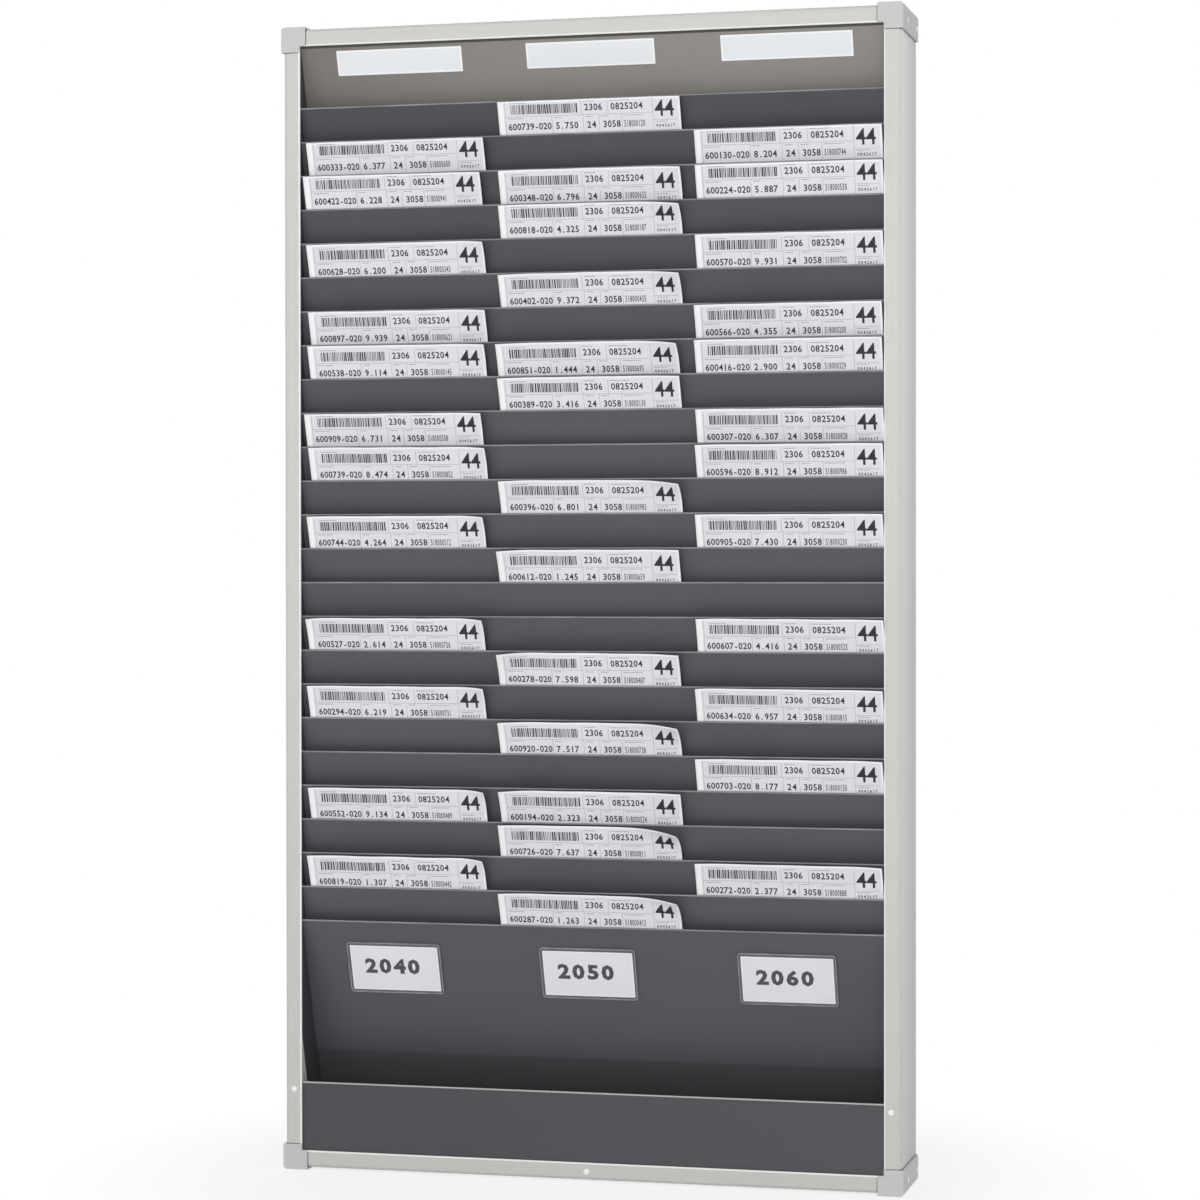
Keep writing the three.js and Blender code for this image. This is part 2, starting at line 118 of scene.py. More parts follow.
class Surface:
    """A material's node tree, with short calls for the nodes used here."""

    def __init__(self, name):
        self.material = bpy.data.materials.new(name)
        self.material.use_nodes = True
        self.tree = self.material.node_tree
        self.shader = self.tree.nodes["Principled BSDF"]
        self.place = self.add("ShaderNodeTexCoord").outputs["Object"]

    def add(self, kind, **settings):
        node = self.tree.nodes.new(kind)
        for name, value in settings.items():
            setattr(node, name, value)
        return node

    def feed(self, socket, value):
        """Links a socket to an output, or sets it to a value."""
        if isinstance(value, bpy.types.NodeSocket):
            self.tree.links.new(value, socket)
        else:
            socket.default_value = value

    def noise(self, scale, detail=2.0, stretch=(1, 1, 1)):
        mapping = self.add("ShaderNodeMapping")
        mapping.inputs["Scale"].default_value = stretch
        texture = self.add("ShaderNodeTexNoise")
        texture.inputs["Scale"].default_value = scale
        texture.inputs["Detail"].default_value = detail
        self.feed(mapping.inputs["Vector"], self.place)
        self.feed(texture.inputs["Vector"], mapping.outputs["Vector"])
        return texture.outputs["Fac"]

    def cells(self, scale):
        texture = self.add("ShaderNodeTexVoronoi")
        texture.inputs["Scale"].default_value = scale
        self.feed(texture.inputs["Vector"], self.place)
        return texture.outputs["Color"]

    def axis(self, name):
        split = self.add("ShaderNodeSeparateXYZ")
        self.feed(split.inputs["Vector"], self.place)
        return split.outputs[name]

    def remap(self, value, low, high, to_low, to_high):
        node = self.add("ShaderNodeMapRange")
        self.feed(node.inputs["Value"], value)
        for name, number in zip(("From Min", "From Max", "To Min", "To Max"), (low, high, to_low, to_high)):
            node.inputs[name].default_value = number
        return node.outputs["Result"]

    def spread(self, noise, to_low, to_high):
        """A noise, spread from to_low to to_high."""
        return self.remap(noise, *NOISE_RANGE, to_low, to_high)

    def math(self, operation, first, second=0.0):
        node = self.add("ShaderNodeMath", operation=operation)
        self.feed(node.inputs[0], first)
        self.feed(node.inputs[1], second)
        return node.outputs["Value"]

    def mix(self, factor, first, second):
        node = self.add("ShaderNodeMix", data_type="RGBA")
        self.feed(node.inputs["Factor"], factor)
        self.feed(node.inputs[MIX_FIRST], first)
        self.feed(node.inputs[MIX_SECOND], second)
        return node.outputs[MIX_RESULT]

    def bump(self, height, strength, distance):
        node = self.add("ShaderNodeBump")
        node.inputs["Strength"].default_value = strength
        node.inputs["Distance"].default_value = distance
        self.feed(node.inputs["Height"], height)
        self.feed(self.shader.inputs["Normal"], node.outputs["Normal"])

    def finish(self, colour, roughness, **sockets):
        self.feed(self.shader.inputs["Base Color"], colour)
        self.feed(self.shader.inputs["Roughness"], roughness)
        for name, value in sockets.items():
            self.feed(self.shader.inputs[name.replace("_", " ")], value)
        return self.material


def coated(name, dark, light, grain, roughness, bump, **sockets):
    """A coat whose tone drifts slowly, with a fine grain of `grain` bumps per metre and a few rub marks."""
    surface = Surface(name)
    drift = surface.noise(SLOW_DRIFT, detail=3)
    fine = surface.noise(grain)
    rubs = surface.remap(surface.noise(RUB_MARKS, detail=6, stretch=(1, 1, 6)), 0.6, 0.75, 0, 1)
    tone = surface.math("ADD", surface.spread(drift, 0, 0.8), surface.spread(fine, 0, 0.2))
    gloss = surface.math("ADD", surface.spread(fine, *roughness), surface.remap(rubs, 0, 1, 0, 0.06))
    surface.bump(fine, bump, GRAIN_DEPTH)
    return surface.finish(surface.mix(tone, srgb(*dark), srgb(*light)), gloss, **sockets)


# Painted shade: the header darkens from the middle towards its left end
HEADER_SHADED_X, HEADER_UNSHADED_X = -0.33, 0.0
# Painted shadow line on the header just below the top profile
HEADER_SHADE_START, HEADER_SHADE_END = 2.6 * MM, 2.2 * MM  # below the top profile


def header_sheet(name, dark, light, gap):
    """Warm grey coat with painted shade that darkens it from the middle towards its left end, and a painted
    shadow line below the top profile.
    """
    surface = Surface(name)
    fine = surface.noise(HEADER_GRAIN)
    # painted shade towards the left end
    drift = surface.remap(surface.axis("X"), HEADER_SHADED_X, HEADER_UNSHADED_X, 0, 0.7)
    drift = surface.math("ADD", drift, surface.spread(surface.noise(HEADER_DRIFT, detail=3), 0, 0.1))
    tone = surface.math("ADD", drift, surface.spread(fine, 0, 0.2))
    coat = surface.mix(tone, srgb(*dark), srgb(*light))
    edge = OPENING_MIDDLE + OPENING_HALF_HEIGHT
    # painted shadow line just below the top profile
    gap_shadow_share = surface.remap(surface.axis("Z"), edge - HEADER_SHADE_START, edge - HEADER_SHADE_END, 0, 1)
    surface.bump(fine, 0.1, GRAIN_DEPTH)
    return surface.finish(surface.mix(gap_shadow_share, coat, srgb(*gap)), surface.spread(fine, 0.5, 0.62))


# Painted shade: the pocket sheets darken from the lower height up to the upper one
STRIP_SHADED_Z, STRIP_LIT_Z = 1.2, 0.85
# Painted highlight along the lips, made patchy like real rubbing
LIP_HIGHLIGHT_FROM, LIP_HIGHLIGHT_TO = -0.6 * MM, 0.9 * MM  # behind the plane in which the lips end
# Painted shade on the pocket sheets in the tray, below this height
RECESS_TOP, RECESS_FADE = 129 * MM, 3 * MM


def pocket_sheet(name, dark, light, lip_highlight_and_wear, tray_shade):
    """Anthracite coat, with a patchy painted highlight and real rubbing along the lips, which all end in one
    plane; painted shade darkens it towards the top of the rack and in the tray.
    """
    surface = Surface(name)
    # painted shade, darker towards the top of the rack
    drift = surface.remap(surface.axis("Z"), STRIP_SHADED_Z, STRIP_LIT_Z, 0, 0.5)
    drift = surface.math("ADD", drift, surface.spread(surface.noise(STRIP_DRIFT, detail=3), 0, 0.2))
    fine = surface.noise(STRIP_GRAIN)
    # painted highlight along the lips, patchy like real rubbing
    lip_plane = FRONT + LIP_SETBACK
    nearness = surface.remap(surface.axis("Y"), lip_plane + LIP_HIGHLIGHT_FROM, lip_plane + LIP_HIGHLIGHT_TO, 1, 0)
    patchy = surface.remap(surface.noise(LIP_HIGHLIGHT_AND_WEAR, detail=4, stretch=(0.2, 1, 1)), 0.3, 0.6, 0.55, 1)
    highlight_and_wear = surface.math("MULTIPLY", nearness, patchy)
    tone = surface.math("ADD", drift, surface.spread(fine, 0, 0.3))
    coat = surface.mix(tone, srgb(*dark), srgb(*light))
    # painted shade in the tray
    tray_shade_share = surface.remap(surface.axis("Z"), RECESS_TOP, RECESS_TOP + RECESS_FADE, 1, 0)
    coat = surface.mix(tray_shade_share, coat, srgb(*tray_shade))
    surface.bump(fine, 0.1, GRAIN_DEPTH)
    return surface.finish(surface.mix(highlight_and_wear, coat, srgb(*lip_highlight_and_wear)), surface.spread(fine, 0.42, 0.54))


TRIM_BRIGHT_START, TRIM_BRIGHT_END = 1.7 * MM, 1.4 * MM  # below the trim's top


def edge_trim(name, coat, bright):
    """Trim in the tray's own coat, whose rounded upper edge is bright."""
    surface = Surface(name)
    fine = surface.noise(TRIM_GRAIN)
    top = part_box("tray_edge_trim")[1].z
    edge = surface.remap(surface.axis("Z"), top - TRIM_BRIGHT_START, top - TRIM_BRIGHT_END, 0, 1)
    base = surface.mix(surface.spread(fine, 0, 0.3), srgb(*coat), srgb(*bright))
    surface.bump(fine, 0.05, GRAIN_DEPTH)
    colour = surface.mix(edge, srgb(*coat), surface.mix(0.75, base, srgb(*bright)))
    return surface.finish(colour, surface.spread(fine, 0.3, 0.4))


# Painted shade on the sides of the frame deepens from the upper to the lower height, and the painted
# highlight on their front edges weakens
FRAME_LOW_Z, FRAME_HIGH_Z = 0.1, 1.0  # the sides of the frame dull from the upper to the lower height
SIDE_START, SIDE_END = 0.6 * MM, 0.3 * MM  # within the profiles' outer faces
SIDE_SHADE = 0.16
# Painted highlight on the outer side faces next to the front, as on a rounded edge
EDGE_HIGHLIGHT, EDGE_HIGHLIGHT_LOW, EDGE_FADE = 0.8, 0.45, 85 * MM
# Painted highlight along the bead at the opening: where it fades across the face and how far behind the front
# it reaches
BEAD_FADE = 1.3 * BEAD_WIDTH
BEAD_DEPTH, BEAD_END = 2.2 * BEAD_WIDTH, 2.4 * BEAD_WIDTH
SEAM_START, SEAM_END = 0.7 * MM, 1.0 * MM  # beyond a cap's edge


def beaded_coat(name, along, dark, light, bright, seam_and_side_shade):
    """The frame's coat over faint drawing lines, with painted shade towards the floor and on the outer side
    faces, and a painted highlight round its outer front edges.

    A painted highlight runs along the bead at the opening, and a dark joint line lies at each cap.
    """
    surface = Surface(name)
    fine = surface.noise(FRAME_GRAIN)
    drift = surface.spread(surface.noise(SLOW_DRIFT, detail=3), 0, 0.3)
    # painted shade: the coat darkens towards the floor
    drift = surface.math("ADD", drift, surface.remap(surface.axis("Z"), 0, 1.0, -0.3, 0.1))
    lines = surface.spread(surface.noise(FRAME_LINES, detail=3, stretch=along), 0, 0.35)
    grain = surface.math("ADD", lines, surface.spread(fine, 0, 0.15))
    coat = surface.mix(surface.math("ADD", drift, grain), srgb(*dark), srgb(*light))

    from_middle = surface.math("ABSOLUTE", surface.axis("X"))
    from_centre = surface.math("ABSOLUTE", surface.math("SUBTRACT", surface.axis("Z"), OPENING_MIDDLE))
    across = surface.math("SUBTRACT", from_middle, OPENING_HALF_WIDTH)
    upright = surface.math("SUBTRACT", from_centre, OPENING_HALF_HEIGHT)
    outside = surface.math("MAXIMUM", across, upright)

    # painted shade on the outer side faces, deeper towards the floor
    on_side = surface.remap(outside, PROFILE_WIDTH - SIDE_START, PROFILE_WIDTH - SIDE_END, 0, 1)
    shade = surface.remap(surface.axis("Z"), FRAME_LOW_Z, FRAME_HIGH_Z, SIDE_SHADE, 0)
    coat = surface.mix(surface.math("MULTIPLY", on_side, shade), coat, srgb(*seam_and_side_shade))
    # painted highlight on the outer side faces near the front, as on a rounded edge
    edge_highlight = surface.remap(surface.axis("Y"), FRONT, FRONT + EDGE_FADE, EDGE_HIGHLIGHT, 0)
    height = surface.remap(surface.axis("Z"), FRAME_LOW_Z, FRAME_HIGH_Z, EDGE_HIGHLIGHT_LOW, 1)
    edge_highlight = surface.math("MULTIPLY", edge_highlight, height)
    coat = surface.mix(surface.math("MULTIPLY", on_side, edge_highlight), coat, srgb(*bright))

    from_side = surface.math("SUBTRACT", cad_box[1].x, from_middle)
    from_end = surface.math("SUBTRACT", OPENING_MIDDLE, from_centre)
    reach = surface.math("MAXIMUM", from_side, from_end)
    beside_cap = surface.remap(reach, CAP_SIZE + SEAM_START, CAP_SIZE + SEAM_END, 1, 0)
    coat = surface.mix(beside_cap, coat, srgb(*seam_and_side_shade))

    # painted highlight along the bead at the opening
    near = surface.remap(outside, BEAD_WIDTH, BEAD_FADE, 1, 0)
    in_front = surface.remap(surface.axis("Y"), FRONT + BEAD_DEPTH, FRONT + BEAD_END, 1, 0)
    coat = surface.mix(surface.math("MULTIPLY", near, in_front), coat, srgb(*bright))
    surface.bump(fine, 0.08, GRAIN_DEPTH)
    return surface.finish(coat, surface.spread(fine, 0.36, 0.48), Specular_IOR_Level=0.25)


def zinc(name, dark, light):
    """Zinc-plated steel with faint crystals."""
    surface = Surface(name)
    crystals = surface.cells(ZINC_CRYSTALS)
    colour = surface.mix(crystals, srgb(*dark), srgb(*light))
    surface.bump(surface.noise(ZINC_GRAIN), 0.05, FINE_DEPTH)
    return surface.finish(colour, surface.remap(crystals, 0, 1, 0.28, 0.42), Metallic=0.9)


def paper(name, dark, light):
    """Office paper: a slow tint and short fibres."""
    surface = Surface(name)
    fibres = surface.noise(PAPER_FIBRES, detail=4, stretch=(1, 1, 0.35))
    tint = surface.spread(surface.noise(PAPER_TINT), 0, 0.6)
    tint = surface.math("ADD", tint, surface.spread(fibres, 0, 0.4))
    surface.bump(fibres, 0.12, FINE_DEPTH)
    return surface.finish(surface.mix(tint, srgb(*dark), srgb(*light)), surface.spread(fibres, 0.78, 0.92))


def ink(name, dark, light):
    """Printed toner with a slightly uneven cover."""
    surface = Surface(name)
    cover = surface.noise(TONER, detail=3)
    colour = surface.mix(surface.remap(cover, 0.35, 0.7, 0, 1), srgb(*dark), srgb(*light))
    return surface.finish(colour, surface.spread(cover, 0.5, 0.65))


def film(name, dark, light, alpha):
    """Clear soft film with faint ripples."""
    surface = Surface(name)
    ripple = surface.noise(FILM_RIPPLE)
    surface.bump(ripple, 0.08, RIPPLE_DEPTH)
    colour = surface.mix(surface.spread(ripple, 0, 1), srgb(*dark), srgb(*light))
    return surface.finish(colour, surface.spread(ripple, 0.1, 0.22), Alpha=alpha)


# Frame tones: dark and light coat, the painted highlight on the bead and the outer front edges, and the dark
# joint colour at the caps, also used for the painted shade on the sides
FRAME_TONES = ((200, 201, 197), (213, 214, 210), (250, 250, 247), (118, 119, 117))
ALONG_UPRIGHTS, ALONG_CROSSBARS = (1, 1, 0.004), (0.004, 1, 1)
CAP_TONES = ((193, 195, 194), (206, 208, 207))
BACK_TONES = ((164, 165, 163), (178, 179, 177))
# Pocket sheets: dark and light coat, the painted lip highlight, and the painted shade in the tray
STRIP_TONES = ((54, 55, 60), (84, 85, 90), (146, 147, 150), (64, 66, 69))
PLATE_TONES = ((60, 61, 65), (69, 70, 74))
RIVET_TONES = ((244, 245, 244), (251, 251, 250))

upright_coat = beaded_coat("upright_coat", ALONG_UPRIGHTS, *FRAME_TONES)
across_coat = beaded_coat("across_coat", ALONG_CROSSBARS, *FRAME_TONES)
cap_plastic = coated(
    "cap_plastic", *CAP_TONES, grain=2600, roughness=(0.42, 0.56), bump=0.14, Specular_IOR_Level=0.25
)
back_paint = coated("back_paint", *BACK_TONES, grain=1100, roughness=(0.45, 0.6), bump=0.1)
strip_coat = pocket_sheet("strip_coat", *STRIP_TONES)
plate_coat = coated("plate_coat", *PLATE_TONES, grain=1400, roughness=(0.42, 0.54), bump=0.1)
# Header tones: the painted shade at its left end, the lit middle, and the painted shadow line below the top
# profile
header_coat = header_sheet("header_coat", (113, 109, 104), (143, 139, 133), (66, 64, 61))
trim_plastic = edge_trim("trim_plastic", (68, 69, 73), (200, 200, 198))
rivet_metal = coated("rivet_metal", *RIVET_TONES, grain=2000, roughness=(0.25, 0.36), bump=0.04)
hanger_zinc = zinc("hanger_zinc", (168, 171, 175), (196, 198, 201))
paper_white = paper("paper_white", (246, 247, 248), (251, 251, 252))
paper_field = paper("paper_field", (222, 223, 229), (230, 231, 236))
label_field = paper("label_field", (229, 233, 236), (237, 240, 242))
insert_field = paper("insert_field", (232, 232, 238), (240, 240, 245))
ink_black = ink("ink_black", (24, 25, 28), (38, 39, 42))
ink_bars = ink("ink_bars", (30, 31, 34), (50, 51, 55))
ink_grey = ink("ink_grey", (70, 72, 78), (92, 94, 100))
ink_line = ink("ink_line", (140, 142, 148), (160, 162, 168))
sleeve_film = film("sleeve_film", (215, 219, 222), (232, 235, 237), alpha=0.04)
sleeve_rim = film("sleeve_rim", (140, 142, 146), (172, 174, 178), alpha=0.9)

NODE_COATS = {
    upright_coat: ["left_profile", "right_profile"],
    across_coat: ["top_profile", "bottom_profile"],
    cap_plastic: ["cap_top_left", "cap_top_right", "cap_bottom_left", "cap_bottom_right"],
    back_paint: ["back_panel"],
    strip_coat: [f"pocket_strip_{pocket:02d}" for pocket in range(1, POCKETS + 1)],
    plate_coat: ["side_plate_left", "side_plate_right", "tray_front", "tray_floor"],
    header_coat: ["header_panel"],
    trim_plastic: ["tray_edge_trim"],
    hanger_zinc: ["hanger_left", "hanger_right"],
}


def coat_nodes():
    for coat, names in NODE_COATS.items():
        for name in names:
            for material_slot in frame["nodes"][name].material_slots:
                material_slot.material = coat


def add_piece(name, points, faces, materials, face_materials=None, smooth=False):
    """A mesh object of the scene; face_materials gives one index into materials per face."""
    mesh = bpy.data.meshes.new(name)
    mesh.from_pydata(points, [], faces)
    for material in materials:
        mesh.materials.append(material)
    if face_materials:
        mesh.polygons.foreach_set("material_index", face_materials)
    mesh.polygons.foreach_set("use_smooth", [smooth] * len(faces))
    mesh.update()
    piece = bpy.data.objects.new(name, mesh)
    bpy.context.scene.collection.objects.link(piece)
    return piece


def loft(name, rings, materials, ring_materials=None, smooth=False):
    """A closed piece through rings of points; ring_materials gives one index per band and cap."""
    count = len(rings[0])
    points = [point for ring in rings for point in ring]
    faces = [list(range(count))[::-1]]
    for band in range(len(rings) - 1):
        for here in range(count):
            after = (here + 1) % count
            low, high = band * count, (band + 1) * count
            faces.append([low + here, low + after, high + after, high + here])
    faces.append([(len(rings) - 1) * count + here for here in range(count)])
    chosen = None
    if ring_materials:
        bands = [index for index in ring_materials[1:-1] for _ in range(count)]
        chosen = [ring_materials[0], *bands, ring_materials[-1]]
    return add_piece(name, points, faces, materials, chosen, smooth)


def hoop(name, rings, materials):
    """A closed band through rings of points, whose last ring meets the first one."""
    count = len(rings[0])
    points = [point for ring in rings for point in ring]
    faces = []
    for band in range(len(rings)):
        low, high = band * count, (band + 1) % len(rings) * count
        for here in range(count):
            after = (here + 1) % count
            faces.append([low + here, low + after, high + after, high + here])
    return add_piece(name, points, faces, materials)


def node_middle_mm(node):
    """X of the middle of a CAD node."""
    low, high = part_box(node)
    return (low.x + high.x) / 2 / MM


def lip(pocket):
    """Where a pocket's lip ends, in the middle plane."""
    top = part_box(f"pocket_strip_{pocket:02d}")[1].z
    return Vector((0, FRONT + LIP_SETBACK, top - LIP_RADIUS * (1 - SLANT_UP.z)))


def on_slant(origin, x_mm, back_mm, up_mm):
    """A point given along the slant's axes, in millimetres from an origin."""
    return origin + Vector((x_mm * MM, 0, 0)) + SLANT_BACK * (back_mm * MM) + SLANT_UP * (up_mm * MM)


# Charts: A4 sheets, how far they stand out of a pocket, and the gap between the pocket's sheet and the paper
CHART_WIDTH_MM = 210
CHART_HEIGHT_MM = 297
CHART_OUT_MM = 37.3
CHART_BACK_MM = 1.3
CHART_THICKNESS_MM = 0.7
CHART_MARGIN_LEFT_MM = 6.5
CHART_MARGIN_MM = 1.9
INK_LIFT_MM = 0.12

# Faces of a sheet: across it, down to just below the lip, and the few further down
SHEET_COLUMNS = 40
SHEET_ROWS = 20
SHEET_BELOW_LIP_MM = 4
SHEET_DEEP_ROWS_MM = (60, 90, 150, 220)

# The pockets that hold a sheet, and how far each one is shifted to the right
CHART_SHIFTS_MM = {
    "left": {3: 0, 4: -4, 6: 0, 8: 2, 9: 1, 11: -3, 12: 2, 14: 0, 17: -1, 19: 0, 22: 1, 24: 0},
    "centre": {2: 0, 4: 1, 5: 1, 7: 1, 9: -2, 10: 0, 13: 1, 15: -1, 18: -1, 20: 0, 22: 1, 23: 0, 25: 0},
    "right": {3: -1, 4: 0, 6: 0, 8: -1, 9: -1, 11: 0.5, 12: 0, 14: 0, 17: 0.8, 19: 0, 21: 0, 24: -0.5},
}

# How far the upper corners of each sheet droop towards the viewer, in degrees: (left, right)
CHART_BENDS = {
    "left": {
        3: (0, 8), 4: (0, 10), 6: (5, 25), 8: (0, 12), 9: (0, 14), 11: (0, 15), 12: (6, 22), 14: (4, 25),
        17: (25, 28), 19: (6, 25), 22: (5, 32), 24: (8, 34),
    },
    "centre": {
        2: (0, 2), 4: (3, 14), 5: (3, 32), 7: (8, 30), 9: (12, 34), 10: (10, 10), 13: (14, 38), 15: (18, 4),
        18: (27, 14), 20: (12, 40), 22: (20, 10), 23: (6, 56), 25: (10, 46),
    },
    "right": {
        3: (0, 2), 4: (0, 2), 6: (2, 2), 8: (4, 2), 9: (4, 2), 11: (4, 2), 12: (6, 2), 14: (4, 5),
        17: (10, 5), 19: (14, 10), 21: (6, 10), 24: (10, 14),
    },
}

# The sheets that are printed closer to their top edge, and by how much
HIGH_PRINT = {"left": (3, 4, 11), "centre": (2, 5), "right": (3, 4)}
HIGH_PRINT_MM = 2.6

# A drooping corner: where its bend starts on the top edge and on the side edge, and its angle at the corner
Bend = namedtuple("Bend", "run drop angle")
# Shape of one sheet: its two bends, a faint wave, the tilt of the sheet and the offset of its print
Curl = namedtuple("Curl", "left right wave tilt seat")
# Starts of the two bends in millimetres; the run on the right lies between two values
BendStarts = namedtuple("BendStarts", "left_run left_drop right_runs right_drop")
CENTRE_BENDS = BendStarts(55, 36, (70, 80), 35)
OUTER_BENDS = BendStarts(24, 26, (32, 42), 27)

WAVES = 3
WAVE_HEIGHTS_MM = (0.2, 0.6)
TILTS_DEGREES = (-0.2, 0.3)
SEATS_MM = (-0.5, 0.2)


def sheet_dice(column, pocket, seed=0):
    """Random numbers of one sheet, the same in every run."""
    return random.Random(seed + pocket * len(COLUMNS) + COLUMNS.index(column))


def curl_of(column, pocket, fixed):
    """Shape of a sheet; a fixed one stands straight, where its solid is."""
    dice = sheet_dice(column, pocket)
    left, right = (math.radians(angle) for angle in CHART_BENDS[column][pocket])
    starts = CENTRE_BENDS if column == "centre" else OUTER_BENDS
    left_bend = Bend(starts.left_run, starts.left_drop, left)
    right_bend = Bend(dice.uniform(*starts.right_runs), starts.right_drop, right)
    tilt = 0 if fixed else math.radians(dice.uniform(*TILTS_DEGREES))
    seat = dice.uniform(*SEATS_MM) - (HIGH_PRINT_MM if pocket in HIGH_PRINT[column] else 0)
    return Curl(left_bend, right_bend, dice.uniform(*WAVE_HEIGHTS_MM), tilt, seat)


def smoothstep(value):
    share = min(1, max(0, value))
    return share * share * (3 - 2 * share)


def paper_point(x, down, lift, curl):
    """(x, back, up) of a point of a sheet, x from its middle, down from its top edge, lift in front of it."""
    half = CHART_WIDTH_MM / 2
    up = CHART_OUT_MM - down
    back = CHART_BACK_MM + curl.wave * math.cos(WAVES * math.pi * x / half) * smoothstep(up / CHART_OUT_MM)
    tilt_x, tilt_up = curl.tilt * up, abs(curl.tilt) * half - curl.tilt * x
    for side, bend in ((-1, curl.left), (1, curl.right)):
        length = math.hypot(bend.run, bend.drop)
        towards_x, towards_up = bend.drop / length, bend.run / length
        beyond = (bend.run - half + side * x) * towards_x - down * towards_up
        if beyond > 0 and bend.angle > 0:
            radius = bend.run * towards_x / bend.angle
            turn = beyond / radius
            along = (radius - lift) * math.sin(turn) - beyond
            x += side * along * towards_x
            up += along * towards_up
            back += (radius - lift) * math.cos(turn) - radius
            lift = 0
    return x + tilt_x, back - lift, up + tilt_up


def chart_piece(name, place, curl):
    """A closed curled sheet with a white margin round a tinted printed field."""
    left, margin, width = CHART_MARGIN_LEFT_MM, CHART_MARGIN_MM, CHART_WIDTH_MM
    across = [left + (width - margin - left) * step / SHEET_COLUMNS for step in range(SHEET_COLUMNS + 1)]
    xs = [0, left / 2, *across, width]
    shown_height = CHART_OUT_MM + SHEET_BELOW_LIP_MM - margin
    shown = [margin + shown_height * step / SHEET_ROWS for step in range(SHEET_ROWS + 1)]
    downs = [0, margin / 2, *shown, *SHEET_DEEP_ROWS_MM, CHART_HEIGHT_MM]
    points = [place(*paper_point(x - width / 2, down, 0, curl)) for down in downs for x in xs]
    faces, chosen = [], []
    for row in range(len(downs) - 1):
        for col in range(len(xs) - 1):
            here, below = row * len(xs) + col, (row + 1) * len(xs) + col
            faces.append([here, below, below + 1, here + 1])
            inside = left <= xs[col] and xs[col + 1] < width and margin <= downs[row]
            chosen.append(1 if inside else 0)
    piece = add_piece(name, points, faces, [paper_white, paper_field], chosen, smooth=True)
    solid = piece.modifiers.new("thickness", "SOLIDIFY")
    solid.thickness = CHART_THICKNESS_MM * MM
    solid.offset = -1
    return piece


class Glyphs:
    """Flat meshes of the built-in font's signs, one unit high, middle of their foot at the origin."""

    MERGE_DISTANCE = 1e-5
    FLAT_DISTANCE = 1e-4
    SPLIT_ROUNDS = 6

    def __init__(self, weight, longest=None):
        self.weight, self.longest, self.known = weight, longest, {}
        points, _ = self.raw("0")
        self.low = min(point.y for point in points)
        self.scale = 1 / (max(point.y for point in points) - self.low)

    def raw(self, sign):
        curve = bpy.data.curves.new("glyph", "FONT")
        curve.body = sign
        curve.offset = self.weight
        curve.resolution_u = 2
        curve.fill_mode = "FRONT"
        carrier = bpy.data.objects.new("glyph", curve)
        bpy.context.scene.collection.objects.link(carrier)
        bpy.context.view_layer.update()
        mesh = bpy.data.meshes.new_from_object(carrier.evaluated_get(bpy.context.evaluated_depsgraph_get()))
        flat = bmesh.new()
        flat.from_mesh(mesh)
        bmesh.ops.remove_doubles(flat, verts=flat.verts, dist=self.MERGE_DISTANCE)
        bmesh.ops.dissolve_degenerate(flat, edges=flat.edges, dist=self.FLAT_DISTANCE)
        bmesh.ops.triangulate(flat, faces=flat.faces)
        bmesh.ops.dissolve_degenerate(flat, edges=flat.edges, dist=self.FLAT_DISTANCE)
        for _ in range(self.SPLIT_ROUNDS if self.longest else 0):
            long = [edge for edge in flat.edges if edge.calc_length() > self.longest]
            bmesh.ops.subdivide_edges(flat, edges=long, cuts=1)
            bmesh.ops.triangulate(flat, faces=flat.faces)
        flat.verts.ensure_lookup_table()
        points = [vert.co.copy() for vert in flat.verts]
        faces = [[vert.index for vert in face.verts] for face in flat.faces]
        flat.free()
        bpy.data.objects.remove(carrier)
        bpy.data.curves.remove(curve)
        bpy.data.meshes.remove(mesh)
        return points, faces

    def sign(self, sign):
        if sign not in self.known:
            points, faces = self.raw(sign)
            middle = (min(point.x for point in points) + max(point.x for point in points)) / 2
            flat = [((point.x - middle) * self.scale, (point.y - self.low) * self.scale) for point in points]
            self.known[sign] = (flat, faces)
        return self.known[sign]


class Print:
    """Ink on a surface: flat shapes in (x, down) millimetres, laid on by `surface(x, down)`."""

    def __init__(self, surface):
        self.surface, self.points, self.faces, self.inks = surface, [], [], []

    def block(self, x0, top, x1, bottom, ink_index, step=4):
        columns = max(1, math.ceil((x1 - x0) / step))
        rows = max(1, math.ceil((bottom - top) / step))
        start = len(self.points)
        for row in range(rows + 1):
            for col in range(columns + 1):
                x = x0 + (x1 - x0) * col / columns
                self.points.append(self.surface(x, top + (bottom - top) * row / rows))
        for row in range(rows):
            for col in range(columns):
                here = start + row * (columns + 1) + col
                below = here + columns + 1
                self.faces.append([here, below, below + 1, here + 1])
                self.inks.append(ink_index)

    def number(self, glyphs, text, x, baseline, height, pitch, squeeze, ink_index):
        for place, sign in enumerate(text):
            flat, faces = glyphs.sign(sign)
            start = len(self.points)
            middle = x + (place + 0.5) * pitch
            for across, up in flat:
                self.points.append(self.surface(middle + across * height * squeeze, baseline - up * height))
            self.faces += [[start + index for index in face] for face in faces]
            self.inks += [ink_index] * len(faces)

    def piece(self, name):
        return add_piece(name, self.points, self.faces, [ink_black, ink_grey, ink_line, ink_bars], self.inks)


BLACK, GREY, LINE, BARS = range(4)
digits = Glyphs(0.02)
large_digits = Glyphs(0.008, longest=0.09)
bold_digits = Glyphs(0.045, longest=0.09)

